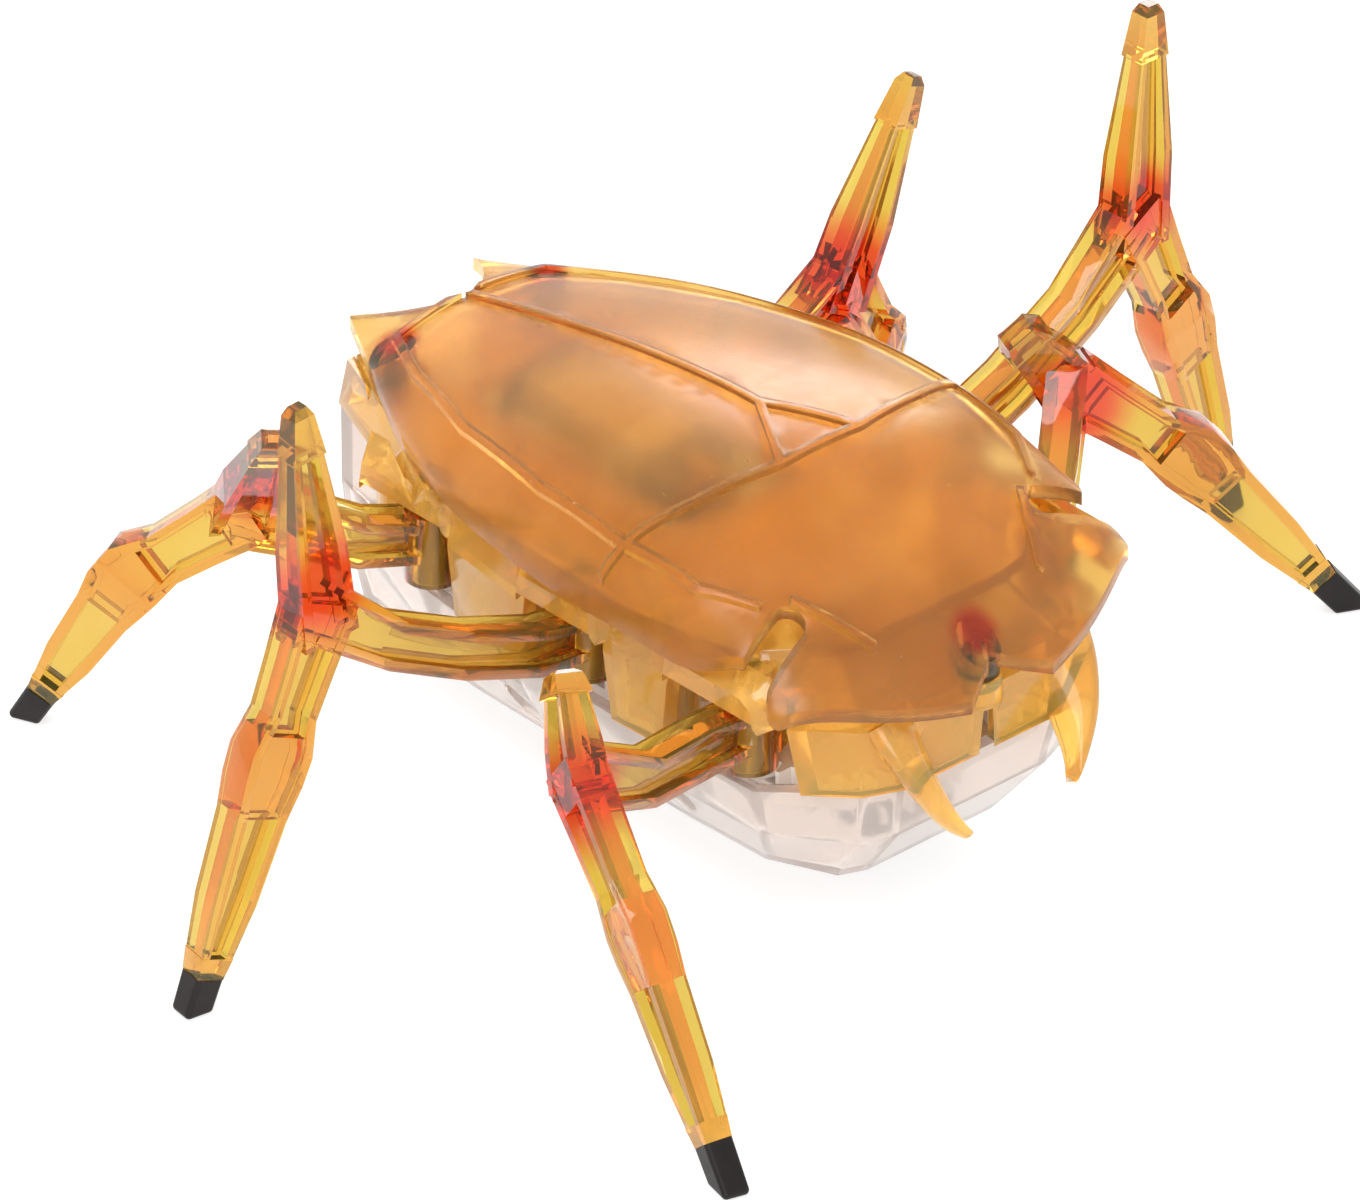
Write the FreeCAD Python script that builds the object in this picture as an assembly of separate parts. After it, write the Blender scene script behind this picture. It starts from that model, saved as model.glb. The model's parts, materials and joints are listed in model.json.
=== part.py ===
"""Six-legged walking robot toy: translucent housing, geared drive and six swinging legs.

Millimetres, +Z up. The robot stands on its six foot caps and heads towards -Y.
The origin lies on the floor, under the middle of the bounding box.
"""
import FreeCAD, Part
import math
import os

os.makedirs("parts", exist_ok=True)
V = FreeCAD.Vector

# ---------------------------------------------------------------- driving dimensions
ORIGIN_Y = 4.15           # the origin's place along Y, measured from the shell's widest line
WALL = 1.0                # wall of both housings
SHELL_T = 1.0             # thickness of the top shell
SHELL_GAP = 0.15          # least gap between the shell and the skirt away from the bosses
SHELL_BULGE = 0.55        # share of the crown that the gentle part of the shell's section takes
SEAM_RISE = 0.4          # height of the raised lines on the shell
SEAM_W = 0.6              # width of the raised lines on the shell

FLOOR_Z = 3.0             # underside of the lower housing
SPLIT_Z = 12.4            # parting plane between the lower housing and the skirt
ROOF_Z = 21.3             # top of the skirt's roof
WINDOW_TOP_Z = 18.8       # top of the windows that the legs leave through

ROW_Y = {"front": -11.0, "mid": 4.5, "rear": 20.0}
PIVOT_X = {"front": 13.2, "mid": 13.2, "rear": 13.0}
WINDOW_Y = {"front": (-15.4, -4.6), "mid": (-0.2, 9.2), "rear": (16.2, 26.4)}

MODULE = 0.5              # gear module
GEAR_X = 6.5              # crank gears stand this far from the centre plane
CRANK_TEETH = 20
IDLER_TEETH = 11
REDUCTION_TEETH = 28
REDUCTION_PINION_TEETH = 12
CROWN_TEETH = 24
CROWN_PINION_TEETH = 8
MOTOR_PINION_TEETH = 8
GEAR_Z = (11.1, 12.4)     # plane of the crank gears and idlers
LOW_GEAR_Z = (6.0, 7.4)   # plane of the large reduction gear
CROWN_Z = (15.2, 17.2)    # body of the crown gear, up to the pitch plane
CRANK_PIN_TOP = 13.0
TAIL_Z = (13.2, 14.5)     # plane of the slotted leg tails
DECK_Z = (9.8, 10.8)
AXLE_R = 0.6
AXLE_FIT = 0.06           # radial running clearance of the gears on their axles
PIN_R = 0.8
PIN_FIT = 0.05            # radial running clearance of the legs on their pins
HUB_Z = (TAIL_Z[0], 18.5)
PEG_W = 1.0               # side of the square peg that holds a foot cap
PEG_L = 1.3               # length of the peg below the ankle
CAP_ROUND = 0.35          # rounding of a foot cap's sides and sole
ANKLE_Z = 2.6             # height at which a foot cap takes over from the shin

MOTOR_Z = CROWN_Z[1] + MODULE * MOTOR_PINION_TEETH / 2
MOTOR_R = 4.0
MOTOR_Y = (10.4, 22.4)
CELL_R = 5.8
CELL_Z = (4.2, 9.6)
CELL_Y = (11.8, 23.6)

SHELL_BOSS = [(-6.7, 30.5), (6.7, 30.5), (0.0, -18.4)]
HOUSING_SCREW = [(-12.3, -3.1), (12.3, -3.1), (-11.8, 12.4), (11.8, 12.4)]
DOOR_SCREW = (5.4, 17.7)
SWITCH_Y = -10.5

SWING = {"front": 50.0, "mid": 50.0, "rear": 34.0}


# ---------------------------------------------------------------- helpers
def mirrored(points):
    """Close a right-hand (+X) half outline with its mirror image."""
    return points + [(-x, y) for x, y in reversed(points)]


def wire_at(points, z):
    """Closed polygon at height z."""
    corners = [V(x, y, z) for x, y in points]
    return Part.makePolygon(corners + corners[:1])


def prism(points, z0, z1):
    """Upright prism of a closed outline."""
    return Part.Face(wire_at(points, z0)).extrude(V(0, 0, z1 - z0))


def stacked(levels):
    """Solid through polygons of equal point count, given as (z, points)."""
    return Part.makeLoft([wire_at(points, z) for z, points in levels], True, True)


def inset(points, distance):
    """Move every side of a counter-clockwise polygon inwards by a distance."""
    moved = []
    count = len(points)
    for i in range(count):
        before = V(*points[i - 1], 0)
        here = V(*points[i], 0)
        after = V(*points[(i + 1) % count], 0)
        d0 = (here - before).normalize()
        d1 = (after - here).normalize()
        n0 = V(-d0.y, d0.x, 0)
        n1 = V(-d1.y, d1.x, 0)
        corner = here + (n0 + n1) * (distance / (1 + n0.dot(n1)))
        moved.append((corner.x, corner.y))
    return moved


def cylinder(x, y, z0, z1, r):
    return Part.makeCylinder(r, z1 - z0, V(x, y, z0))


def block(x0, x1, y0, y1, z0, z1):
    return Part.makeBox(x1 - x0, y1 - y0, z1 - z0, V(x0, y0, z0))


def fused(shapes):
    """One solid from overlapping shapes."""
    whole = shapes[0].fuse(shapes[1:]) if len(shapes) > 1 else shapes[0]
    return whole.removeSplitter()


def save(name, shape):
    """Write one named piece, moved to the part's own origin."""
    placed = shape.copy()
    placed.translate(V(0, -ORIGIN_Y, 0))
    placed.exportStep("parts/" + name + ".step")
    solids = placed.Solids
    print(name, "solids", len(solids), "valid", placed.isValid(), "volume", round(placed.Volume, 1))


def smooth_through(points, t):
    """Value at t of a smooth curve through (t, value) points in rising order of t."""
    if t <= points[0][0]:
        return points[0][1]
    if t >= points[-1][0]:
        return points[-1][1]
    i = 0
    while points[i + 1][0] < t:
        i += 1
    left = points[max(i - 1, 0)]
    a = points[i]
    b = points[i + 1]
    right = points[min(i + 2, len(points) - 1)]
    span = b[0] - a[0]
    slope_a = (b[1] - left[1]) / (b[0] - left[0])
    slope_b = (right[1] - a[1]) / (right[0] - a[0])
    u = (t - a[0]) / span
    rise = (2 * u**3 - 3 * u**2 + 1) * a[1] + (-2 * u**3 + 3 * u**2) * b[1]
    return rise + span * ((u**3 - 2 * u**2 + u) * slope_a + (u**3 - u**2) * slope_b)


# ---------------------------------------------------------------- top shell
# Half outline of the shell's rim, from the rear corner to the front shoulder.
RIM = [(5.5, 36.4), (7.6, 32.7), (10.3, 27.8), (13.1, 22.3), (14.5, 18.4), (16.1, 11.7),
       (16.8, 6.5), (17.0, 0.0), (16.9, -5.3), (16.2, -10.0), (15.0, -12.4)]
RIM_Z = [(-24, 18.2), (-16, 19.2), (-12.5, 21.3), (0, 22.0), (18, 22.3), (38, 22.7)]
RIDGE_Z = [(-24, 17.8), (-20, 19.8), (-16, 22.8), (-10, 26.0), (-4.5, 28.2), (2.5, 28.9),
           (12, 28.2), (22, 26.5), (30, 24.7), (38, 22.8)]
REAR_NOTCH = 30.6
FRONT_NOTCH = -19.6


def shell_half_width(y):
    if y < -9.0:
        return 16.4
    return smooth_through(sorted((py, px) for px, py in RIM), y)


def shell_height(s, y):
    """Height of the outer surface at s, the share of the half width at y."""
    crown = 1 - SHELL_BULGE * s**2 - (1 - SHELL_BULGE) * s**12
    low = smooth_through(RIM_Z, y)
    return low + (smooth_through(RIDGE_Z, y) - low) * crown


def shell_face():
    """The outer surface, a little larger than the shell itself."""
    shares = [0, 0.25, 0.5, 0.7, 0.84, 0.92, 1.0, 1.05]
    shares = [-s for s in reversed(shares[1:])] + shares
    rows = []
    y = -24.0
    while y <= 38.0:
        half = shell_half_width(y)
        rows.append([V(s * half, y, shell_height(s, y)) for s in shares])
        y += 2.0
    surface = Part.BSplineSurface()
    surface.interpolate(rows)
    return surface.toShape()


def shell_outline():
    """Rim with a notched tail, two side notches and pointed front ears."""
    edges = []
    for side in (1, -1):
        rim = Part.BSplineCurve()
        rim.interpolate([V(side * x, y, 0) for x, y in RIM])
        edges.append(rim.toShape())
        corners = [(15.0, -12.4), (11.2, -11.4)]
        edges.append(Part.makeLine(V(side * corners[0][0], corners[0][1], 0),
                                   V(side * corners[1][0], corners[1][1], 0)))
        notch = Part.Arc(V(side * 11.2, -11.4, 0), V(side * 10.1, -12.6, 0), V(side * 11.2, -13.7, 0))
        edges.append(notch.toShape())
        ear = [(11.2, -13.7), (14.9, -14.7)]
        edges.append(Part.makeLine(V(side * ear[0][0], ear[0][1], 0), V(side * ear[1][0], ear[1][1], 0)))
        tip = Part.Arc(V(side * 14.9, -14.7, 0), V(side * 15.7, -15.6, 0), V(side * 15.1, -16.6, 0))
        edges.append(tip.toShape())
        front = Part.Arc(V(side * 15.1, -16.6, 0), V(side * 9.6, -19.7, 0), V(side * 3.6, -21.8, 0))
        edges.append(front.toShape())
        edges.append(Part.makeLine(V(side * 3.6, -21.8, 0), V(0, FRONT_NOTCH, 0)))
        tail = Part.Arc(V(side * 5.5, 36.4, 0), V(side * 3.0, 32.6, 0), V(0, REAR_NOTCH, 0))
        edges.append(tail.toShape())
    return Part.Wire(Part.__sortEdges__(edges))


def band(points, width):
    """Upright strip of a given width along a polyline."""
    strips = []
    for (x0, y0), (x1, y1) in zip(points, points[1:]):
        along = V(x1 - x0, y1 - y0, 0)
        side = V(-along.y, along.x, 0).normalize() * (width / 2)
        corners = [V(x0, y0, 0) + side, V(x0, y0, 0) - side, V(x1, y1, 0) - side, V(x1, y1, 0) + side]
        strips.append(prism([(c.x, c.y) for c in corners], 10, 40))
        strips.append(cylinder(x1, y1, 10, 40, width / 2))
    return fused(strips)


def top_shell():
    face = shell_face()
    outline = Part.Face(shell_outline()).extrude(V(0, 0, 40))
    pieces = [face.extrude(V(0, 0, -SHELL_T)).common(outline)]
    raised = face.extrude(V(0, 0, -0.6))
    raised.translate(V(0, 0, SEAM_RISE))
    apex = (0, 2.5)
    base = (3.5, -3.4)
    tail = (0, REAR_NOTCH + 0.6)
    lines = [[tail, apex], [base, apex, (-base[0], base[1]), base]]
    for side in (1, -1):
        crease = [(6.7, 30.5), (9.3, 25.6), (12.3, 17.6), (14.2, 8.0),
                  (14.7, 0.0), (14.2, -7.0), (12.2, -10.6)]
        for line in (crease, [tail, (6.7, 30.5)], [(16.4, -0.1), (10.0, -2.0), base],
                     [(10.2, -11.6), (7.4, -16.6)]):
            lines.append([(side * x, y) for x, y in line])
    for line in lines:
        pieces.append(raised.common(band(line, SEAM_W)).common(outline))
    shell = fused(pieces)
    under = face.extrude(V(0, 0, -8))
    under.translate(V(0, 0, -0.4))
    for x, y in SHELL_BOSS:
        post = cylinder(x, y, boss_seat(y), 30, 1.5).common(under)
        hole = cylinder(x, y, boss_seat(y) - 1, boss_top(y), 0.55)
        shell = shell.fuse(post).cut(hole)
    return shell


def boss_seat(y):
    """Height at which a shell boss stands on the skirt."""
    return ROOF_Z if y > 0 else 18.0


def boss_top(y):
    """Upper end of the screw hole in a shell boss."""
    return 23.0 if y > 0 else 20.6


# ---------------------------------------------------------------- housings
# Each level is a height and the half outline there, from the front to the rear.
BELLY = [
    (FLOOR_Z, [(5.5, -14.0), (7.4, -13.2), (9.5, -8.5), (9.7, -1.0),
               (9.6, 10.0), (9.4, 20.0), (7.7, 32.6)]),
    (8.0, [(6.5, -18.0), (9.0, -17.0), (12.9, -11.9), (13.3, -1.0),
           (13.1, 10.0), (12.7, 20.0), (8.0, 34.0)]),
    (SPLIT_Z, [(6.9, -19.0), (9.6, -17.9), (14.6, -12.8), (15.1, -1.0),
               (14.8, 10.0), (13.7, 20.0), (8.3, 34.2)]),
]
SKIRT = [
    (SPLIT_Z, [(7.1, -19.4), (9.9, -18.2), (14.9, -12.9), (15.4, -1.0),
               (15.1, 10.0), (13.9, 20.0), (8.6, 34.5)]),
    (17.4, [(7.0, -19.6), (9.9, -18.3), (15.0, -12.9), (15.6, -1.0),
            (15.3, 10.0), (14.0, 20.0), (8.4, 34.5)]),
    (ROOF_Z, [(5.8, -14.4), (8.2, -13.8), (13.2, -10.2), (14.9, -1.0),
              (14.5, 10.0), (13.2, 20.0), (7.8, 34.1)]),
]
REAR_CUT_Y = 27.6
REAR_CUT_Z = 18.0
DOOR = [(7.4, 5.2), (7.4, 22.0), (6.3, 30.2)]


def hollow(levels, thickness, floor, roof):
    """Outer solid less its inside; floor and roof are kept that thick."""
    outer = stacked([(z, mirrored(points)) for z, points in levels])
    inner = stacked([(z, inset(mirrored(points), thickness)) for z, points in levels])
    low = levels[0][0] + floor
    high = levels[-1][0] - roof
    return outer.cut(inner.common(block(-30, 30, -40, 50, low, high)))


def door_outline(gap):
    return inset(mirrored(DOOR), gap)


def lower_housing():
    body = hollow(BELLY, WALL, WALL, 0)
    outer = stacked([(z, mirrored(points)) for z, points in BELLY])
    rear = [(9.9, REAR_CUT_Y + 0.2), (8.3, 34.2)]
    rear_wall = prism(mirrored(rear), SPLIT_Z - 0.5, REAR_CUT_Z - 0.1)
    rear_inner = prism([(8.9, REAR_CUT_Y - 1), (7.2, 33.2), (-7.2, 33.2), (-8.9, REAR_CUT_Y - 1)], 5, 20)
    body = body.fuse(rear_wall.cut(rear_inner))
    posts = [cylinder(x, y, 5, SPLIT_Z, 1.5).common(outer) for x, y in HOUSING_SCREW]
    posts.append(cylinder(DOOR_SCREW[0], DOOR_SCREW[1], FLOOR_Z + 1.2, DECK_Z[0], 1.3))
    posts.append(block(DOOR_SCREW[0], 12.6, DOOR_SCREW[1] - 0.6, DOOR_SCREW[1] + 0.6, 7.6, DECK_Z[0])
                 .common(outer))
    for x, y in axle_seats():
        posts.append(cylinder(x, y, FLOOR_Z, 5.4, 1.4))
    body = body.fuse(posts)
    cuts = [prism(door_outline(0), FLOOR_Z - 1, FLOOR_Z + WALL)]
    cuts.append(block(-2.6, 2.6, SWITCH_Y - 0.9, SWITCH_Y + 0.9, FLOOR_Z - 1, FLOOR_Z + WALL + 0.01))
    for x, y in HOUSING_SCREW:
        cuts.append(cylinder(x, y, 0, 9.0, 1.25))
        cuts.append(cylinder(x, y, 0, SPLIT_Z + 1, 0.65))
    cuts.append(cylinder(DOOR_SCREW[0], DOOR_SCREW[1], 0, 8.2, 0.5))
    for x, y in axle_seats():
        cuts.append(cylinder(x, y, 3.8, 6, AXLE_R))
    for y in (27.0, 29.0, 31.0):
        cuts.append(block(-5.5, 5.5, y, y + 0.8, FLOOR_Z - 1, FLOOR_Z + 0.3)
                    .common(prism([(6, 30.6), (6, 40), (-6, 40), (-6, 30.6)], 0, 9)))
    return body.cut(cuts)


def axle_seats():
    """The two long axles that stand on the lower housing's floor."""
    return [(0.0, REDUCTION_Y), (0.0, CROWN_Y)]


def fender(side, y0, y1, wall_x):
    """Bulging bevelled panel over one leg window."""
    inner = [V(wall_x - 1.0, y0, 18.5), V(wall_x - 1.0, y1, 18.5), V(wall_x - 1.0, y1, ROOF_Z),
             V(wall_x - 1.0, y0, ROOF_Z)]
    outer = [V(wall_x + 1.1, y0 + 1.0, 17.9), V(wall_x + 1.1, y1 - 1.0, 17.9),
             V(wall_x + 1.1, y1 - 1.4, 20.3), V(wall_x + 1.1, y0 + 1.4, 20.3)]
    wires = []
    for corners in (inner, outer):
        corners = [V(side * c.x, c.y, c.z) for c in corners]
        wires.append(Part.makePolygon(corners + corners[:1]))
    return Part.makeLoft(wires, True, True)


def mandible(side):
    """Curved fang that hangs from the skirt's front."""
    stations = [((7.6, -17.8, 17.4), 2.2), ((7.2, -19.3, 15.2), 2.1), ((6.6, -20.6, 12.9), 1.7),
                ((5.8, -21.7, 10.9), 1.1), ((4.6, -22.6, 9.4), 0.5)]
    wires = []
    for i, ((x, y, z), r) in enumerate(stations):
        ahead = stations[min(i + 1, len(stations) - 1)][0]
        behind = stations[max(i - 1, 0)][0]
        along = V(side * (ahead[0] - behind[0]), ahead[1] - behind[1], ahead[2] - behind[2])
        ring = Part.Ellipse(V(0, 0, 0), r, 0.62 * r)
        edge = ring.toShape()
        edge.Placement = FreeCAD.Placement(V(side * x, y, z), FreeCAD.Rotation(V(0, 0, 1), along))
        wires.append(Part.Wire(edge))
    return Part.makeLoft(wires, True, False)


def skirt_housing():
    body = hollow(SKIRT, 1.2, 0, 1.0)
    inner_keep = stacked([(z, mirrored(points)) for z, points in SKIRT])
    extras = []
    for row, (y0, y1) in WINDOW_Y.items():
        wall_x = {"front": 15.0, "mid": 15.3, "rear": 13.6}[row]
        for side in (1, -1):
            extras.append(fender(side, y0, y1, wall_x))
    for side in (1, -1):
        extras.append(mandible(side))
    body = body.fuse(extras)
    cuts = []
    for row, (y0, y1) in WINDOW_Y.items():
        trapezoid = [V(0, y0, SPLIT_Z - 1), V(0, y1, SPLIT_Z - 1),
                     V(0, y1 - 0.8, WINDOW_TOP_Z - 1), V(0, y1 - 1.2, WINDOW_TOP_Z),
                     V(0, y0 + 1.2, WINDOW_TOP_Z), V(0, y0 + 0.8, WINDOW_TOP_Z - 1)]
        opening = Part.Face(Part.makePolygon(trapezoid + trapezoid[:1]))
        cuts.append(opening.extrude(V(30, 0, 0)).cut(block(0, 10.5, y0 - 1, y1 + 1, 0, 30)))
        cuts.append(opening.extrude(V(-30, 0, 0)).cut(block(-10.5, 0, y0 - 1, y1 + 1, 0, 30)))
    cuts.append(block(-20, 20, REAR_CUT_Y, 40, 0, REAR_CUT_Z))
    cuts.append(block(-5.2, 5.2, 3.6, 25.0, ROOF_Z - 2, ROOF_Z + 1))
    body = body.cut(cuts)
    posts = []
    for row, y in ROW_Y.items():
        for side in (1, -1):
            posts.append(cylinder(side * PIVOT_X[row], y, WINDOW_TOP_Z, ROOF_Z - 0.5, 1.7))
    for x, y in HOUSING_SCREW:
        posts.append(cylinder(x, y, SPLIT_Z, ROOF_Z - 0.5, 1.5).common(inner_keep))
    posts.append(cylinder(0, SHELL_BOSS[2][1], 16.0, boss_seat(-1), 1.7))
    body = body.fuse(posts)
    holes = [cylinder(0, SHELL_BOSS[2][1], boss_seat(-1), 30, 1.7)]
    for row, y in ROW_Y.items():
        for side in (1, -1):
            holes.append(cylinder(side * PIVOT_X[row], y, SPLIT_Z, ROOF_Z - 0.6, PIN_R))
    for x, y in HOUSING_SCREW:
        holes.append(cylinder(x, y, SPLIT_Z - 1, 17.0, 0.6))
    for x, y in SHELL_BOSS:
        holes.append(cylinder(x, y, 10, ROOF_Z + 2, 0.55))
        holes.append(cylinder(x, y, 10, boss_seat(y) - 1.0, 1.2))
    holes.append(stacked([(z, mirrored(points)) for z, points in BELLY]))
    above = shell_face().extrude(V(0, 0, 20))
    above.translate(V(0, 0, -SHELL_T - SHELL_GAP))
    for x, y in SHELL_BOSS:
        above = above.cut(cylinder(x, y, 0, boss_seat(y), 1.7))
    return body.cut(holes + [above])


def battery_door():
    plate = prism(door_outline(0.15), FLOOR_Z, FLOOR_Z + WALL)
    x, y = DOOR_SCREW
    plate = plate.cut(cylinder(x, y, 0, 9, 0.6)).cut(cylinder(x, y, 0, FLOOR_Z + 0.5, 1.1))
    grips = [block(-2.5, 2.5, grip_y, grip_y + 0.5, FLOOR_Z - 1, FLOOR_Z + 0.3)
             for grip_y in (26.0, 27.2, 28.4)]
    return plate.cut(grips)


def gear_deck():
    outline = inset(mirrored(BELLY[1][1]), 1.6)
    deck = prism(outline, DECK_Z[0], DECK_Z[1])
    cuts = [cylinder(0, REDUCTION_Y, 0, 20, 3.9), cylinder(0, CROWN_Y, 0, 20, 2.8)]
    for x, y in HOUSING_SCREW:
        cuts.append(cylinder(x, y, 0, 20, 1.8))
    for x, y in deck_axles():
        cuts.append(cylinder(x, y, 0, 20, AXLE_R))
    return deck.cut(cuts)


# ---------------------------------------------------------------- gear train
def pitch_radius(teeth):
    return MODULE * teeth / 2


REDUCTION_Y = ROW_Y["front"] + math.sqrt(
    (pitch_radius(REDUCTION_PINION_TEETH) + pitch_radius(CRANK_TEETH))**2 - GEAR_X**2)
CROWN_Y = REDUCTION_Y + pitch_radius(REDUCTION_TEETH) + pitch_radius(CROWN_PINION_TEETH)


def gear_wheel(teeth, z0, z1, phase, addendum=0.42, dedendum=0.62, thick=0.56):
    """Spur gear about Z; phase is the direction in degrees of the middle of one tooth."""
    r = pitch_radius(teeth)
    points = []
    root = (r - dedendum, 0.62 * thick)
    crest = (r + addendum, 0.30 * thick)
    for i in range(teeth):
        middle = math.radians(phase) + 2 * math.pi * i / teeth
        for sign, (radius, half) in ((-1, root), (-1, crest), (1, crest), (1, root)):
            points.append((radius, middle + sign * half / radius))
    outline = [(radius * math.cos(a), radius * math.sin(a)) for radius, a in points]
    return prism(outline, z0, z1)


def meshed_phase(teeth_a, phase_a, direction, teeth_b):
    """Tooth direction of gear b so that it meshes with gear a; direction runs from a to b."""
    share = (direction - phase_a) * teeth_a / 360.0
    return direction + 180.0 - (0.5 - share) * 360.0 / teeth_b


def direction_to(x0, y0, x1, y1):
    return math.degrees(math.atan2(y1 - y0, x1 - x0))


def tooth_phases():
    """Tooth direction of each gear with the whole train in mesh."""
    phases = {"reduction": 90.0}
    for side, name in ((-1, "right"), (1, "left")):
        x = side * GEAR_X
        direction = direction_to(0, REDUCTION_Y, x, ROW_Y["front"])
        phase = meshed_phase(REDUCTION_PINION_TEETH, phases["reduction"], direction, CRANK_TEETH)
        phases[name + "_front"] = phase
        for idler, row in (("fore", "mid"), ("aft", "rear")):
            phase = meshed_phase(CRANK_TEETH, phase, 90.0, IDLER_TEETH)
            phases[name + "_" + idler] = phase
            phase = meshed_phase(IDLER_TEETH, phase, 90.0, CRANK_TEETH)
            phases[name + "_" + row] = phase
    phases["crown_pinion"] = meshed_phase(REDUCTION_TEETH, 90.0, 90.0, CROWN_PINION_TEETH)
    return phases


def idler_y(idler):
    rows = ("front", "mid") if idler == "fore" else ("mid", "rear")
    return (ROW_Y[rows[0]] + ROW_Y[rows[1]]) / 2


def crank_throw(row):
    """Crank radius that swings the slotted tail through half the leg's swing each way."""
    return (PIVOT_X[row] - GEAR_X) * math.sin(math.radians(SWING[row] / 2))


def crank_pin_at(side, row):
    """Crank pin's place with the leg at rest: fully swung, or in the middle for the mid legs."""
    reach = PIVOT_X[row] - GEAR_X
    if row == "mid":
        return side * (GEAR_X + crank_throw(row)), ROW_Y[row]
    half = math.radians(SWING[row] / 2)
    forward_at_rest = (row == "front") == (side < 0)
    turn = half if forward_at_rest else -half
    length = reach * math.cos(half)
    return (side * (PIVOT_X[row] - length * math.cos(turn)), ROW_Y[row] + length * math.sin(turn))


def crank_gear(side, row, phase):
    x = side * GEAR_X
    y = ROW_Y[row]
    wheel = gear_wheel(CRANK_TEETH, GEAR_Z[0], GEAR_Z[1], phase)
    wheel.translate(V(x, y, 0))
    px, py = crank_pin_at(side, row)
    wheel = wheel.fuse(cylinder(px, py, GEAR_Z[0], CRANK_PIN_TOP, 0.5))
    return wheel.cut(cylinder(x, y, 0, 20, AXLE_R + AXLE_FIT))


def idler_gear(side, idler, phase):
    x = side * GEAR_X
    y = idler_y(idler)
    wheel = gear_wheel(IDLER_TEETH, GEAR_Z[0], GEAR_Z[1], phase)
    wheel.translate(V(x, y, 0))
    return wheel.cut(cylinder(x, y, 0, 20, AXLE_R + AXLE_FIT))


def reduction_gear():
    low = gear_wheel(REDUCTION_TEETH, LOW_GEAR_Z[0], LOW_GEAR_Z[1], 90.0)
    high = gear_wheel(REDUCTION_PINION_TEETH, GEAR_Z[0] - 0.2, GEAR_Z[1], 90.0)
    hub = cylinder(0, 0, LOW_GEAR_Z[0] - 0.4, GEAR_Z[1], 1.7)
    wheel = low.fuse([high, hub]).cut(cylinder(0, 0, 0, 20, AXLE_R + AXLE_FIT))
    wheel.translate(V(0, REDUCTION_Y, 0))
    return wheel


def crown_gear(phase):
    """Crown wheel with upright teeth, joined to the pinion below it."""
    pinion = gear_wheel(CROWN_PINION_TEETH, LOW_GEAR_Z[0] - 0.3, 9.0, phase)
    hub = cylinder(0, 0, LOW_GEAR_Z[0] - 0.4, CROWN_Z[1] - 0.7, 1.3)
    disc = cylinder(0, 0, CROWN_Z[0], CROWN_Z[1] - 0.65, 6.3)
    teeth = []
    for i in range(CROWN_TEETH):
        profile = [V(4.4, -0.24, CROWN_Z[1] - 0.8), V(4.4, 0.24, CROWN_Z[1] - 0.8),
                   V(4.4, 0.1, CROWN_Z[1] + 0.25), V(4.4, -0.1, CROWN_Z[1] + 0.25)]
        tooth = Part.Face(Part.makePolygon(profile + profile[:1])).extrude(V(1.8, 0, 0))
        tooth.rotate(V(0, 0, 0), V(0, 0, 1), 90.0 + (i + 0.5) * 360.0 / CROWN_TEETH)
        teeth.append(tooth)
    wheel = pinion.fuse([hub, disc] + teeth).cut(cylinder(0, 0, 0, 30, AXLE_R + AXLE_FIT))
    wheel.translate(V(0, CROWN_Y, 0))
    return wheel


def motor_pinion():
    """Pinion on the motor's shaft; one tooth points straight down into the crown wheel."""
    wheel = gear_wheel(MOTOR_PINION_TEETH, 0, 2.8, -90.0, thick=0.48)
    wheel = wheel.cut(cylinder(0, 0, -1, 4, 0.5))
    wheel.rotate(V(0, 0, 0), V(1, 0, 0), 90)
    wheel.translate(V(0, CROWN_Y + 6.6, MOTOR_Z))
    return wheel


def deck_axles():
    places = []
    for side in (-1, 1):
        for y in ROW_Y.values():
            places.append((side * GEAR_X, y))
        for idler in ("fore", "aft"):
            places.append((side * GEAR_X, idler_y(idler)))
    return places


def gear_axles():
    pieces = [cylinder(x, y, DECK_Z[0], GEAR_Z[1] + 0.3, AXLE_R) for x, y in deck_axles()]
    pieces.append(cylinder(0, REDUCTION_Y, 3.8, GEAR_Z[1] + 0.4, AXLE_R))
    pieces.append(cylinder(0, CROWN_Y, 3.8, CROWN_Z[1] - 0.3, AXLE_R))
    return Part.makeCompound(pieces)


# ---------------------------------------------------------------- motor, cells and switch
def motor_can():
    can = Part.makeCylinder(MOTOR_R, MOTOR_Y[1] - MOTOR_Y[0], V(0, MOTOR_Y[0], MOTOR_Z), V(0, 1, 0))
    flats = [block(-5, 5, 0, 40, MOTOR_Z + 3.1, MOTOR_Z + 6), block(-5, 5, 0, 40, MOTOR_Z - 6, MOTOR_Z - 3.1)]
    nose = Part.makeCylinder(1.6, 0.6, V(0, MOTOR_Y[0] - 0.6, MOTOR_Z), V(0, 1, 0))
    bore = Part.makeCylinder(0.56, 20, V(0, MOTOR_Y[0] - 2, MOTOR_Z), V(0, 1, 0))
    return can.cut(flats).fuse(nose).cut(bore)


def motor_shaft():
    start = CROWN_Y + 3.8
    return Part.makeCylinder(0.5, MOTOR_Y[1] - 1 - start, V(0, start, MOTOR_Z), V(0, 1, 0))


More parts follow.
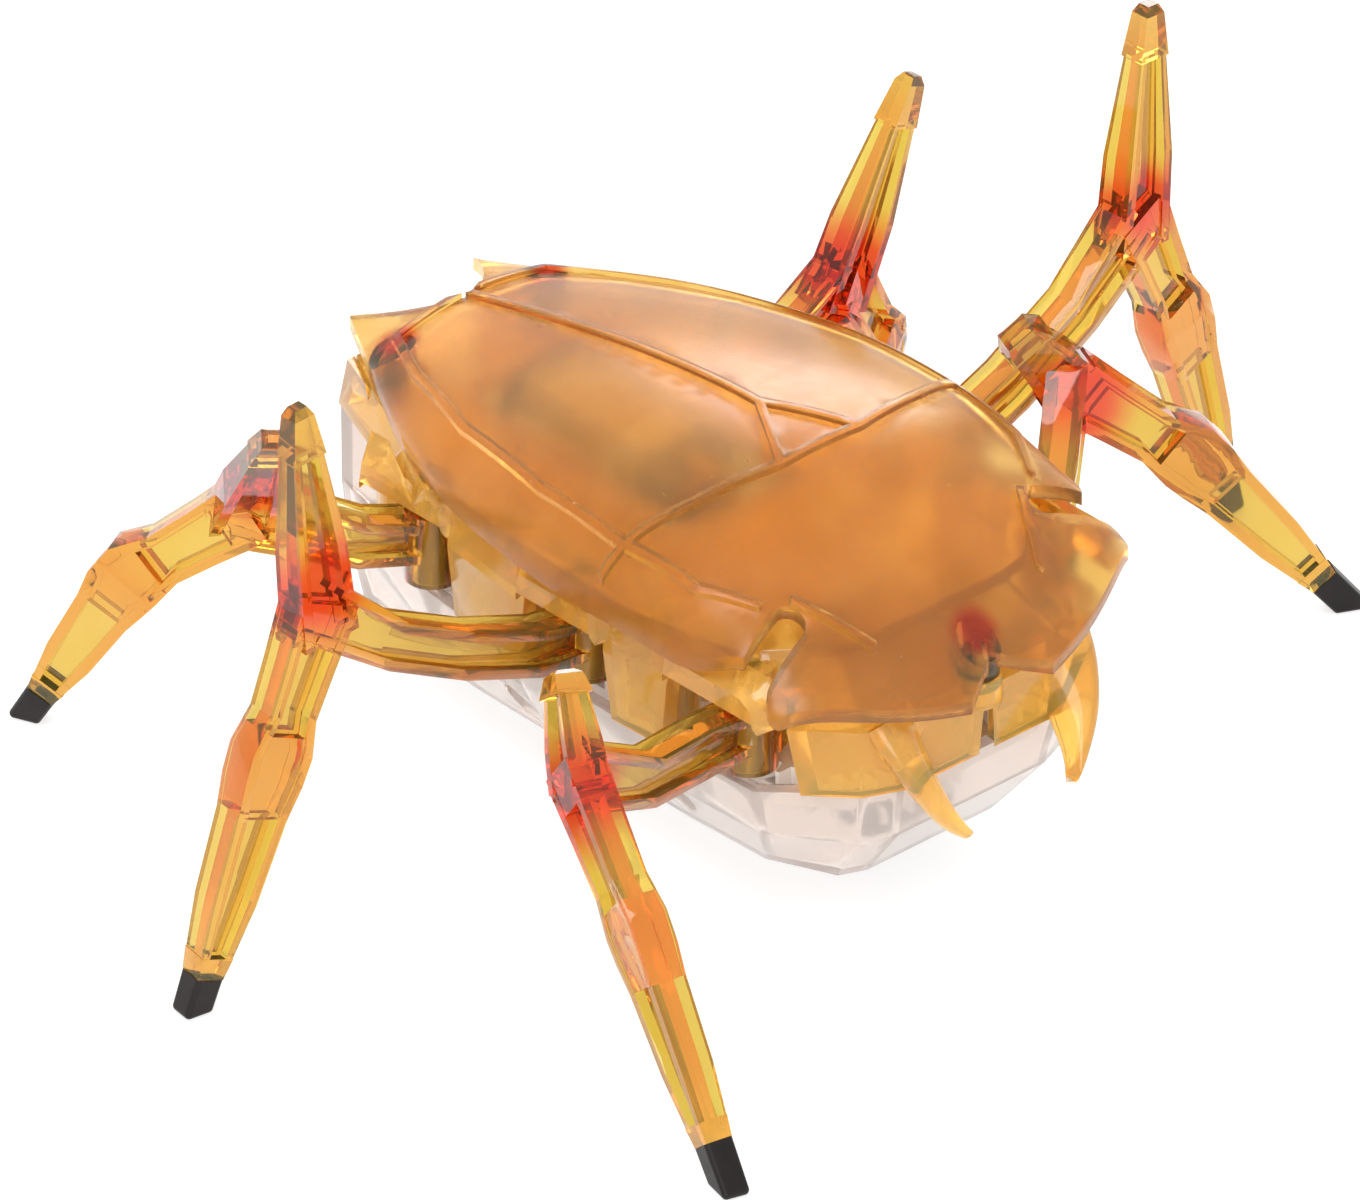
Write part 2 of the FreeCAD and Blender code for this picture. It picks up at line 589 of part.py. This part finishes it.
def motor_end_cap():
    cap = Part.makeCylinder(3.7, 1.2, V(0, MOTOR_Y[1], MOTOR_Z), V(0, 1, 0))
    flats = [block(-5, 5, 0, 40, MOTOR_Z + 3.0, MOTOR_Z + 6), block(-5, 5, 0, 40, MOTOR_Z - 6, MOTOR_Z - 3.0)]
    tabs = [block(x - 0.5, x + 0.5, MOTOR_Y[1] + 1.0, MOTOR_Y[1] + 2.4, MOTOR_Z - 0.15, MOTOR_Z + 0.15)
            for x in (-2.2, 2.2)]
    return cap.cut(flats).fuse(tabs)


def motor_cradle():
    """Saddle that carries the motor above the leg tails."""
    foot_z = MOTOR_Z - 3.1
    plate = block(-4.6, 4.6, MOTOR_Y[0] + 1, MOTOR_Y[1] - 1, TAIL_Z[1] + 0.5, foot_z)
    sides = [block(x, x + 0.8, MOTOR_Y[0] + 1, MOTOR_Y[1] - 1, TAIL_Z[1] + 0.5, ROOF_Z) for x in (-5.1, 4.3)]
    return plate.fuse(sides)


def battery_cell(y):
    can = cylinder(0, y, CELL_Z[0], CELL_Z[0] + 4.4, CELL_R)
    lid = cylinder(0, y, CELL_Z[0] + 4.4, CELL_Z[1], 4.9)
    return can.fuse(lid)


def battery_contacts():
    """Two strips under the deck, one over each cell."""
    strips = []
    for y in CELL_Y:
        strips.append(block(-1.5, 1.5, y - 4.5, y + 4.5, CELL_Z[1], DECK_Z[0]))
    return Part.makeCompound(strips)


def switch_slider():
    plate = block(-3.4, 3.4, SWITCH_Y - 1.6, SWITCH_Y + 1.6, FLOOR_Z + WALL + 0.05, 5.2)
    knob = block(-1.2, 1.2, SWITCH_Y - 0.7, SWITCH_Y + 0.7, FLOOR_Z - 0.5, FLOOR_Z + WALL + 0.5)
    ribs = [block(x - 0.15, x + 0.15, SWITCH_Y - 1, SWITCH_Y + 1, FLOOR_Z - 1, FLOOR_Z - 0.25)
            for x in (-0.7, 0.0, 0.7)]
    return plate.fuse(knob).cut(ribs)


def screw(x, y, seat, tip, head_r, head_h, shank_r):
    """Cross-head screw that points up, with its head's bearing face at seat."""
    head = cylinder(x, y, seat - head_h, seat, head_r)
    shank = cylinder(x, y, seat, tip, shank_r)
    cross = [block(x - 0.7, x + 0.7, y - 0.14, y + 0.14, seat - head_h, seat - head_h + 0.4),
             block(x - 0.14, x + 0.14, y - 0.7, y + 0.7, seat - head_h, seat - head_h + 0.4)]
    return head.fuse(shank).cut(cross)


# ---------------------------------------------------------------- legs
def section(center, along, normal, height, width, rim, web):
    """I-shaped ring of twelve points; normal looks across the recessed faces."""
    along = V(along).normalize()
    normal = V(normal)
    normal = (normal - along * normal.dot(along)).normalize()
    up = normal.cross(along)
    a = height / 2
    b = width / 2
    c = web / 2
    shape = [(a, b), (a, -b), (a - rim, -b), (a - rim, -c), (-a + rim, -c), (-a + rim, -b),
             (-a, -b), (-a, b), (-a + rim, b), (-a + rim, c), (a - rim, c), (a - rim, b)]
    corners = [V(*center) + up * h + normal * w for h, w in shape]
    return Part.makePolygon(corners + corners[:1])


def beam(stations, normal):
    """Channelled beam through (point, height, width) stations."""
    wires = []
    count = len(stations)
    for i, (point, height, width) in enumerate(stations):
        ahead = V(*stations[min(i + 1, count - 1)][0])
        behind = V(*stations[max(i - 1, 0)][0])
        rim = min(0.24 * height, 0.75)
        web = 0.42 * width
        wires.append(section(point, ahead - behind, normal, height, width, rim, web))
    return Part.makeLoft(wires, True, True)


def solid_beam(stations, normal):
    """Plain rectangular beam through (point, height, width) stations."""
    wires = []
    count = len(stations)
    for i, (point, height, width) in enumerate(stations):
        ahead = V(*stations[min(i + 1, count - 1)][0])
        behind = V(*stations[max(i - 1, 0)][0])
        along = (ahead - behind).normalize()
        side = V(*normal)
        side = (side - along * side.dot(along)).normalize()
        up = side.cross(along)
        corners = [V(*point) + up * (h * height / 2) + side * (w * width / 2)
                   for h, w in ((1, 1), (1, -1), (-1, -1), (-1, 1))]
        wires.append(Part.makePolygon(corners + corners[:1]))
    return Part.makeLoft(wires, True, True)


def between(a, b, share):
    return tuple(p + (q - p) * share for p, q in zip(a, b))


def upright_normal(a, b):
    """Horizontal normal of the upright plane through a and b."""
    return V(b[1] - a[1], a[0] - b[0], 0).normalize()


def leg(pivot, marks, swing_at_rest, prong_width, reach, throw):
    """One leg in its rest place: hub, slotted tail, arm, prong and channelled shin.

    marks holds the arm's points and the knee, prong tip, bump and toe.
    """
    knee = marks["knee"]
    tip = marks["tip"]
    bump = marks["bump"]
    ankle = ankle_of(marks)
    px, py = pivot
    side = -1 if px < 0 else 1
    shin_normal = upright_normal(tip if marks["straight"] else knee, ankle)
    pieces = []

    thigh = [(knee, 4.5, 2.7), (between(knee, bump, 0.35), 4.0, 2.6), (between(knee, bump, 0.7), 3.7, 2.5),
             (between(knee, bump, 0.95), 4.9, 2.7), (between(bump, ankle, 0.1), 4.7, 2.7),
             (between(bump, ankle, 0.26), 4.0, 2.5),
             (between(bump, ankle, 0.65), 3.4, 2.35), (ankle, 2.0, 1.9)]
    pieces.append(beam(thigh, shin_normal))
    pieces.append(solid_beam([(between(knee, bump, -0.08), 4.4, 2.6), (between(knee, bump, 0.18), 4.1, 2.56)],
                             shin_normal))
    pieces.append(solid_beam([(between(knee, bump, 0.82), 4.1, 2.56), (between(bump, ankle, 0.02), 4.6, 2.6),
                              (between(bump, ankle, 0.25), 3.95, 2.46)], shin_normal))
    pieces.append(solid_beam([(between(ankle, bump, 0.1), 2.5, 2.08), (ankle, 2.0, 1.9)], shin_normal))
    pieces.append(foot_peg(marks, shin_normal))

    prong_normal = shin_normal if marks["straight"] else upright_normal(knee, marks["arm"][-1])
    prong = [(between(knee, tip, -0.12), 4.4, 2.7), (between(knee, tip, 0.3), 3.9, 2.6),
             (between(knee, tip, 0.9), prong_width, 0.7 * prong_width)]
    pieces.append(beam(prong, prong_normal))
    pieces.append(solid_beam([(between(knee, tip, 0.76), 1.3 * prong_width + 0.15, 0.9 * prong_width + 0.15),
                              (between(knee, tip, 0.96), 0.8 * prong_width + 0.1, 0.7 * prong_width + 0.1),
                              (tip, 0.5 * prong_width, 0.45 * prong_width)], prong_normal))

    root = (px, py, 16.4)
    arm_points = [root] + marks["arm"] + [knee]
    sizes = [(2.8, 3.2)] + [(3.4, 2.7)] * (len(arm_points) - 2) + [(4.4, 2.7)]
    arm_normal = upright_normal(root, knee)
    pieces.append(beam([(p, h, w) for p, (h, w) in zip(arm_points, sizes)], arm_normal))

    pieces.append(cylinder(px, py, HUB_Z[0], HUB_Z[1], 1.9))
    length = reach + throw + 1.1
    tail = block(0, length, -1.35, 1.35, TAIL_Z[0], TAIL_Z[1]).fuse(cylinder(length, 0, *TAIL_Z, 1.35))
    slot = block(reach - throw, reach + throw, -0.65, 0.65, 0, 30)
    slot = slot.fuse([cylinder(reach - throw, 0, 0, 30, 0.65), cylinder(reach + throw, 0, 0, 30, 0.65)])
    tail = tail.cut(slot)
    heading = (0.0 if side < 0 else 180.0) + swing_at_rest
    tail.rotate(V(0, 0, 0), V(0, 0, 1), heading)
    tail.translate(V(px, py, 0))
    pieces.append(tail)
    whole = fused(pieces)
    return whole.cut(cylinder(px, py, 0, 30, PIN_R + PIN_FIT))


def ankle_of(marks):
    """End of the channelled shin, on the line from the bump to the toe."""
    bump = marks["bump"]
    return between(marks["toe"], bump, ANKLE_Z / bump[2])


def foot_line(marks):
    """Ankle, direction of the foot and its length down to the floor."""
    ankle = V(*ankle_of(marks))
    along = (V(*marks["toe"]) - ankle).normalize()
    return ankle, along, ankle.z / -along.z


def foot_peg(marks, normal):
    """Square peg below the ankle that holds the foot cap."""
    ankle, along, length = foot_line(marks)
    return solid_beam([(tuple(ankle - along * PEG_L), PEG_W, PEG_W),
                       (tuple(ankle + along * PEG_L), PEG_W, PEG_W)], normal)


def foot_cap(marks, normal_from):
    """Rubber cap with a flat sole on the floor, pushed onto the leg's peg."""
    ankle, along, length = foot_line(marks)
    normal = upright_normal(normal_from, tuple(ankle))
    stations = [(0.0, 2.15, 2.05), (length + 1.6, 2.0, 1.9)]
    cap = solid_beam([(tuple(ankle + along * share), height, width) for share, height, width in stations],
                     normal)
    cap = cap.cut(block(-80, 80, -80, 80, -20, 0))
    rounded = [edge for edge in cap.Edges if min(vertex.Z for vertex in edge.Vertexes) < 0.01]
    return cap.makeFillet(CAP_ROUND, rounded).cut(foot_peg(marks, normal))


FRONT_MARKS = {
    "arm": [(-18.0, -11.3, 16.6), (-23.6, -12.3, 17.2)],
    "knee": (-30.4, -13.4, 20.6), "tip": (-28.3, -9.6, 26.0), "bump": (-32.6, -21.6, 13.6),
    "toe": (-34.8, -32.7, 0.0), "straight": True,
}
MID_MARKS = {
    "arm": [(-18.0, 4.5, 17.0), (-24.3, 4.6, 19.4), (-30.5, 4.9, 22.6)],
    "knee": (-36.2, 5.2, 27.2), "tip": (-37.6, 5.4, 43.0), "bump": (-40.3, 5.4, 17.6),
    "toe": (-46.2, 6.6, 0.0), "straight": False,
}
RIGHT_REAR_MARKS = {
    "arm": [(-17.4, 22.2, 17.0)],
    "knee": (-23.6, 26.6, 19.6), "tip": (-28.4, 18.0, 31.2), "bump": (-28.5, 32.2, 14.4),
    "toe": (-30.3, 41.0, 0.0), "straight": False,
}
LEFT_REAR_MARKS = {
    "arm": [(18.2, 20.6, 17.2)],
    "knee": (25.2, 21.8, 19.4), "tip": (31.4, 21.5, 33.0), "bump": (29.8, 23.0, 11.8),
    "toe": (30.6, 25.0, 0.0), "straight": False,
}


def mirror_marks(marks):
    flipped = {}
    for key, value in marks.items():
        if key == "straight":
            flipped[key] = value
        elif key == "arm":
            flipped[key] = [(-x, y, z) for x, y, z in value]
        else:
            flipped[key] = (-value[0], value[1], value[2])
    return flipped


def turned(marks, pivot, degrees):
    """The marks swung about the upright pivot."""
    c = math.cos(math.radians(degrees))
    s = math.sin(math.radians(degrees))

    def swing(p):
        x = p[0] - pivot[0]
        y = p[1] - pivot[1]
        return (pivot[0] + c * x - s * y, pivot[1] + s * x + c * y, p[2])

    out = {}
    for key, value in marks.items():
        if key == "straight":
            out[key] = value
        elif key == "arm":
            out[key] = [swing(p) for p in value]
        else:
            out[key] = swing(value)
    return out


def leg_plan():
    """Marks and tail angle of each leg in the rest pose."""
    left_pivot = (PIVOT_X["front"], ROW_Y["front"])
    return {
        "right_front": (FRONT_MARKS, SWING["front"] / 2),
        "left_front": (turned(mirror_marks(FRONT_MARKS), left_pivot, SWING["front"]), SWING["front"] / 2),
        "right_mid": (MID_MARKS, 0.0),
        "left_mid": (mirror_marks(MID_MARKS), 0.0),
        "right_rear": (RIGHT_REAR_MARKS, -SWING["rear"] / 2),
        "left_rear": (LEFT_REAR_MARKS, -SWING["rear"] / 2),
    }


def build():
    save("top_shell", top_shell())
    save("skirt_housing", skirt_housing())
    save("lower_housing", lower_housing())
    save("battery_door", battery_door())
    save("gear_deck", gear_deck())
    phases = tooth_phases()
    for side, name in ((-1, "right"), (1, "left")):
        for row in ROW_Y:
            save("crank_gear_" + name + "_" + row, crank_gear(side, row, phases[name + "_" + row]))
        for idler in ("fore", "aft"):
            save("idler_gear_" + name + "_" + idler, idler_gear(side, idler, phases[name + "_" + idler]))
    save("reduction_gear", reduction_gear())
    save("crown_gear", crown_gear(phases["crown_pinion"]))
    save("gear_axles", gear_axles())
    save("motor_pinion", motor_pinion())
    save("motor_shaft", motor_shaft())
    save("motor_can", motor_can())
    save("motor_end_cap", motor_end_cap())
    save("motor_cradle", motor_cradle())
    save("battery_cell_front", battery_cell(CELL_Y[0]))
    save("battery_cell_rear", battery_cell(CELL_Y[1]))
    save("battery_contacts", battery_contacts())
    save("switch_slider", switch_slider())
    shell_screws = [screw(x, y, boss_seat(y) - 1.0, boss_seat(y) + 1.4, 1.1, 0.9, 0.5) for x, y in SHELL_BOSS]
    save("shell_screws", Part.makeCompound(shell_screws))
    housing = [screw(x, y, 9.0, 16.6, 1.15, 0.9, 0.6) for x, y in HOUSING_SCREW]
    save("housing_screws", Part.makeCompound(housing))
    save("door_screw", screw(DOOR_SCREW[0], DOOR_SCREW[1], FLOOR_Z + 0.5, 7.8, 1.0, 0.4, 0.5))
    pins = [cylinder(side * PIVOT_X[row], y, TAIL_Z[0] - 0.1, ROOF_Z - 0.6, PIN_R)
            for row, y in ROW_Y.items() for side in (-1, 1)]
    save("leg_pivot_pins", Part.makeCompound(pins))
    for name, (marks, swing) in leg_plan().items():
        row = name.split("_")[1]
        side = -1 if name.startswith("right") else 1
        pivot = (side * PIVOT_X[row], ROW_Y[row])
        reach = PIVOT_X[row] - GEAR_X
        tip_width = 2.6 if row == "front" else 1.9
        limb = leg(pivot, marks, swing, tip_width, reach, crank_throw(row))
        save("leg_" + name, limb)
        save("foot_cap_" + name, foot_cap(marks, marks["tip"] if marks["straight"] else marks["knee"]))


build()
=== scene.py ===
"""Looks for the six-legged walking toy: materials, small surface detail, light and camera.

Metres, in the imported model's own frame. The CAD nodes are the pieces; nothing is moved.
"""
import bpy
import json
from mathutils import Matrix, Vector

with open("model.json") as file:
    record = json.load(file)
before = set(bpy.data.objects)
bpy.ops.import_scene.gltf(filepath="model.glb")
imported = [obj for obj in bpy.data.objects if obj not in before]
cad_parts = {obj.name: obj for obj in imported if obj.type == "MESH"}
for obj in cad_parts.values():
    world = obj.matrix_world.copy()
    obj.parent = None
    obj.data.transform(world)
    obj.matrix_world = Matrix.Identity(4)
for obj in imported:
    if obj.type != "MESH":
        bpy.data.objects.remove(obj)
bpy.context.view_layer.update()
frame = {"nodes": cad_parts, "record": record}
nodes = frame["nodes"]

MM = 0.001

# ---------------------------------------------------------------- camera
CAMERA_BACK = Vector((-0.573, -0.625, 0.530)).normalized()
CAMERA_DISTANCE = 1.556
CAMERA_LENS = 629.0
CAMERA_SENSOR = 36.0
CAMERA_CLIP = (0.01, 20.0)
CAMERA_AIM = Vector((-4.67, 0.85, 14.65)) * MM


def add_camera():
    data = bpy.data.cameras.new("camera")
    data.lens = CAMERA_LENS
    data.sensor_width = CAMERA_SENSOR
    data.clip_start, data.clip_end = CAMERA_CLIP
    camera = bpy.data.objects.new("camera", data)
    camera.location = CAMERA_AIM + CAMERA_BACK * CAMERA_DISTANCE
    camera.rotation_mode = "QUATERNION"
    camera.rotation_quaternion = (-CAMERA_BACK).to_track_quat("-Z", "Y")
    bpy.context.scene.collection.objects.link(camera)
    bpy.context.scene.camera = camera


add_camera()


# ---------------------------------------------------------------- materials
CLEAR_IOR = 1.45
SHELL_IOR = 1.35
RUBBER_IOR = 1.3
# Depth in metres of the fine surface grain.
GRAIN_DEPTH = 0.03 * MM
CLEAR_GRAIN_STRENGTH = 0.1
SOLID_GRAIN_STRENGTH = 0.3
# Noise scales: slow colour changes, finer roughness changes, and the ragged edge of a spot.
CLEAR_COLOUR_SCALE = 160.0
CLEAR_ROUGHNESS_SCALE = 900.0
SOLID_COLOUR_SCALE = 400.0
SOLID_ROUGHNESS_SCALE = 1200.0
SOLID_GRAIN_SCALE = 1500.0
SPOT_EDGE_SCALE = 350.0
# The noise sits near the middle of its range, so a ramp between these two shows both tints.
TINT_FROM = 0.3
TINT_TO = 0.7
# Roughness varies between these shares of its stated value.
ROUGHNESS_LOW = 0.8
ROUGHNESS_HIGH = 1.25

DENSE_DYE = (0.68, 0.1, 0.03)
# Shares of a spot's radius: how ragged its edge is, and where its fade ends and starts.
SPOT_RAGGED = 0.5
SPOT_OUTER = 1.5
SPOT_INNER = 0.75
# Centre and radius, in millimetres, of the places where the dye looks denser: the shell's screw
# bosses and the knee of each leg.
BOSSES = (((-6.7, 26.3, 23.8), 1.7), ((6.7, 26.3, 23.8), 1.7), ((0.0, -22.5, 21.2), 1.8))
KNEES = {
    "leg_right_front": ((-30.6, -18.0, 19.6), 4.2),
    "leg_left_front": ((26.6, -3.4, 19.6), 4.4),
    "leg_right_mid": ((-36.2, 1.0, 29.0), 4.0),
    "leg_left_mid": ((36.6, 1.0, 28.0), 3.4),
    "leg_right_rear": ((-25.4, 19.5, 23.5), 4.4),
    "leg_left_rear": ((25.4, 17.6, 19.8), 4.6),
}


def new_material(name):
    material = bpy.data.materials.new(name)
    material.use_nodes = True
    tree = material.node_tree
    shader = tree.nodes["Principled BSDF"]
    return material, tree, shader


def object_coordinates(tree):
    return tree.nodes.new("ShaderNodeTexCoord").outputs["Object"]


def noise(tree, scale, detail=3.0):
    node = tree.nodes.new("ShaderNodeTexNoise")
    node.inputs["Scale"].default_value = scale
    node.inputs["Detail"].default_value = detail
    tree.links.new(object_coordinates(tree), node.inputs["Vector"])
    return node.outputs["Fac"]


def tints(tree, value, low, high):
    """Two close tints, mixed by a noise value."""
    node = tree.nodes.new("ShaderNodeValToRGB")
    places = ((TINT_FROM, low), (TINT_TO, high))
    for point, (place, colour) in zip(node.color_ramp.elements, places):
        point.position = place
        point.color = (*colour, 1.0)
    tree.links.new(value, node.inputs["Fac"])
    return node.outputs["Color"]


def vary_roughness(tree, shader, scale, roughness):
    node = tree.nodes.new("ShaderNodeMapRange")
    node.inputs["To Min"].default_value = roughness * ROUGHNESS_LOW
    node.inputs["To Max"].default_value = roughness * ROUGHNESS_HIGH
    tree.links.new(noise(tree, scale), node.inputs["Value"])
    tree.links.new(node.outputs["Result"], shader.inputs["Roughness"])


def grain_bump(tree, shader, height, strength):
    node = tree.nodes.new("ShaderNodeBump")
    node.inputs["Strength"].default_value = strength
    node.inputs["Distance"].default_value = GRAIN_DEPTH
    tree.links.new(height, node.inputs["Height"])
    tree.links.new(node.outputs["Normal"], shader.inputs["Normal"])


def dense_spot(tree, centre, radius):
    """1 near the centre, fading unevenly to 0 a little outside the radius; all in metres."""
    distance = tree.nodes.new("ShaderNodeVectorMath")
    distance.operation = "DISTANCE"
    tree.links.new(object_coordinates(tree), distance.inputs[0])
    distance.inputs[1].default_value = centre
    uneven = tree.nodes.new("ShaderNodeMath")
    uneven.operation = "MULTIPLY_ADD"
    tree.links.new(noise(tree, SPOT_EDGE_SCALE), uneven.inputs[0])
    uneven.inputs[1].default_value = radius * SPOT_RAGGED
    tree.links.new(distance.outputs["Value"], uneven.inputs[2])
    fade = tree.nodes.new("ShaderNodeMapRange")
    fade.interpolation_type = "SMOOTHSTEP"
    fade.inputs["From Min"].default_value = radius * SPOT_OUTER
    fade.inputs["From Max"].default_value = radius * SPOT_INNER
    tree.links.new(uneven.outputs["Value"], fade.inputs["Value"])
    return fade.outputs["Result"]


def tinted_plastic(name, low, high, clearness, absorb, density, roughness, grain, spots=()):
    """Clear moulded plastic: tinted surface, colour that deepens with thickness, faint flow marks.

    Clearness is the share of light that goes through; the rest shows the body colour. A spot is
    the centre and radius in millimetres of a place where the dye looks denser.
    """
    material, tree, shader = new_material(name)
    shader.inputs["Transmission Weight"].default_value = clearness
    shader.inputs["IOR"].default_value = CLEAR_IOR
    tint = tints(tree, noise(tree, CLEAR_COLOUR_SCALE), low, high)
    for centre, radius in spots:
        mix = tree.nodes.new("ShaderNodeMix")
        mix.data_type = "RGBA"
        spot = dense_spot(tree, [c * MM for c in centre], radius * MM)
        tree.links.new(spot, mix.inputs["Factor"])
        tree.links.new(tint, mix.inputs["A"])
        mix.inputs["B"].default_value = (*DENSE_DYE, 1.0)
        tint = mix.outputs["Result"]
    tree.links.new(tint, shader.inputs["Base Color"])
    vary_roughness(tree, shader, CLEAR_ROUGHNESS_SCALE, roughness)
    grain_bump(tree, shader, noise(tree, grain, 2.0), CLEAR_GRAIN_STRENGTH)
    volume = tree.nodes.new("ShaderNodeVolumeAbsorption")
    volume.inputs["Color"].default_value = (*absorb, 1.0)
    volume.inputs["Density"].default_value = density
    output = tree.nodes["Material Output"]
    tree.links.new(volume.outputs["Volume"], output.inputs["Volume"])
    return material


def opaque(name, low, high, roughness, metallic=0.0):
    """Solid material with faint colour and roughness variation and a fine surface grain."""
    material, tree, shader = new_material(name)
    shader.inputs["Metallic"].default_value = metallic
    tint = tints(tree, noise(tree, SOLID_COLOUR_SCALE), low, high)
    tree.links.new(tint, shader.inputs["Base Color"])
    vary_roughness(tree, shader, SOLID_ROUGHNESS_SCALE, roughness)
    grain_bump(tree, shader, noise(tree, SOLID_GRAIN_SCALE, 4.0), SOLID_GRAIN_STRENGTH)
    return material


def shell_material():
    """Frosted shell with a pale bloom at glancing angles."""
    material = tinted_plastic("frosted_amber", (0.75, 0.49, 0.1), (0.83, 0.62, 0.21), 0.94,
                              (1.0, 0.56, 0.14), 280.0, 0.24, 2500.0, BOSSES)
    shader = material.node_tree.nodes["Principled BSDF"]
    shader.inputs["IOR"].default_value = SHELL_IOR
    shader.inputs["Sheen Weight"].default_value = 0.1
    shader.inputs["Sheen Roughness"].default_value = 0.5
    shader.inputs["Sheen Tint"].default_value = (1.0, 0.86, 0.8, 1.0)
    return material


def rubber_material():
    material = opaque("black_rubber", (0.008, 0.006, 0.006), (0.016, 0.012, 0.011), 0.38)
    shader = material.node_tree.nodes["Principled BSDF"]
    shader.inputs["IOR"].default_value = RUBBER_IOR
    return material


MATERIALS = {
    "frosted_amber_shell": shell_material(),
    "amber_housing": tinted_plastic("amber_clear", (1.0, 0.6, 0.11), (1.0, 0.66, 0.16), 0.7,
                                    (1.0, 0.56, 0.08), 75.0, 0.1, 900.0),
    "clear_pink_housing": tinted_plastic("clear_pink", (1.0, 0.9, 0.84), (1.0, 0.93, 0.88), 0.76,
                                         (1.0, 0.77, 0.69), 36.0, 0.12, 700.0),
    "white_plastic": opaque("white_acetal", (0.86, 0.82, 0.78), (0.92, 0.89, 0.86), 0.4),
    "steel": opaque("plain_steel", (0.7, 0.68, 0.66), (0.78, 0.76, 0.74), 0.45, 0.35),
    "brass": opaque("plain_brass", (0.72, 0.55, 0.28), (0.8, 0.63, 0.34), 0.3, 1.0),
    "black_plastic": opaque("black_plastic", (0.03, 0.03, 0.03), (0.05, 0.05, 0.05), 0.4),
    "black_rubber": rubber_material(),
}


def leg_material(name):
    """Clear amber of one leg, denser round its knee."""
    return tinted_plastic("amber_" + name, (0.66, 0.56, 0.08), (0.71, 0.62, 0.13), 0.93,
                          (1.0, 0.42, 0.03), 430.0, 0.05, 700.0, (KNEES[name],))


# Rounding width by material slot; metal, rubber and black plastic have none.
EDGE_ROUND = {
    "frosted_amber_shell": 0.12 * MM,
    "amber_housing": 0.15 * MM,
    "amber_leg": 0.18 * MM,
    "clear_pink_housing": 0.25 * MM,
    "white_plastic": 0.04 * MM,
}
# Faces come from the CAD unjoined; points closer than this are one point.
JOIN_DISTANCE = 0.002 * MM
# Smallest turn between two faces, in radians, that counts as an edge.
SHARP_ANGLE = 0.55


def round_edges(piece, width):
    """Join the faces, then round the sharp edges a little, as a moulded piece has them."""
    weld = piece.modifiers.new("join_faces", "WELD")
    weld.merge_threshold = JOIN_DISTANCE
    modifier = piece.modifiers.new("edge_round", "BEVEL")
    modifier.width = width
    modifier.segments = 2
    modifier.limit_method = "ANGLE"
    modifier.angle_limit = SHARP_ANGLE
    modifier.harden_normals = True
    modifier.use_clamp_overlap = True


def paint_nodes():
    for entry in frame["record"]["subparts"]:
        piece = nodes[entry["node"]]
        slot = entry["material_slot"]
        piece.data.materials.clear()
        if entry["node"] in KNEES:
            piece.data.materials.append(leg_material(entry["node"]))
        else:
            piece.data.materials.append(MATERIALS[slot])
        if slot in EDGE_ROUND:
            round_edges(piece, EDGE_ROUND[slot])


paint_nodes()


# ---------------------------------------------------------------- stage and light
FLOOR_SIZE = 6.0
# The floor is a hair below the feet, so the two faces don't lie in one plane.
FLOOR_Z = -0.05 * MM
FLOOR_GREY = 0.4
FLOOR_GLOW = 0.72
WORLD_GLOW = 0.9
# Direction, distance and size in metres, and power in watts, of each round lamp.
LAMPS = {
    "key": ((-0.3, -0.2, 1.0), 0.6, 0.35, 2.0),
    "rim": ((0.8, 0.7, 0.6), 0.7, 0.3, 1.5),
    "fill": ((-0.8, -0.75, 0.3), 0.7, 0.4, 1.6),
}


def add_stage():
    bpy.ops.mesh.primitive_plane_add(size=FLOOR_SIZE, location=(0, 0, FLOOR_Z))
    floor = bpy.context.object
    floor.name = "floor"
    material, _, shader = new_material("floor_white")
    shader.inputs["Base Color"].default_value = (FLOOR_GREY, FLOOR_GREY, FLOOR_GREY, 1.0)
    shader.inputs["Roughness"].default_value = 0.9
    shader.inputs["Emission Color"].default_value = (1.0, 1.0, 1.0, 1.0)
    shader.inputs["Emission Strength"].default_value = FLOOR_GLOW
    floor.data.materials.append(material)


def add_lamp(name, direction, distance, width, power):
    data = bpy.data.lights.new(name, "AREA")
    data.shape = "DISK"
    data.size = width
    data.energy = power
    lamp = bpy.data.objects.new(name, data)
    lamp.location = Vector(direction).normalized() * distance
    lamp.rotation_mode = "QUATERNION"
    lamp.rotation_quaternion = Vector(direction).to_track_quat("Z", "Y")
    bpy.context.scene.collection.objects.link(lamp)


def add_light():
    world = bpy.data.worlds.new("studio")
    world.use_nodes = True
    background = world.node_tree.nodes["Background"]
    background.inputs["Color"].default_value = (1.0, 1.0, 1.0, 1.0)
    background.inputs["Strength"].default_value = WORLD_GLOW
    bpy.context.scene.world = world
    for name, lamp in LAMPS.items():
        add_lamp(name, *lamp)


add_stage()
add_light()
bpy.context.scene.view_settings.view_transform = "Standard"
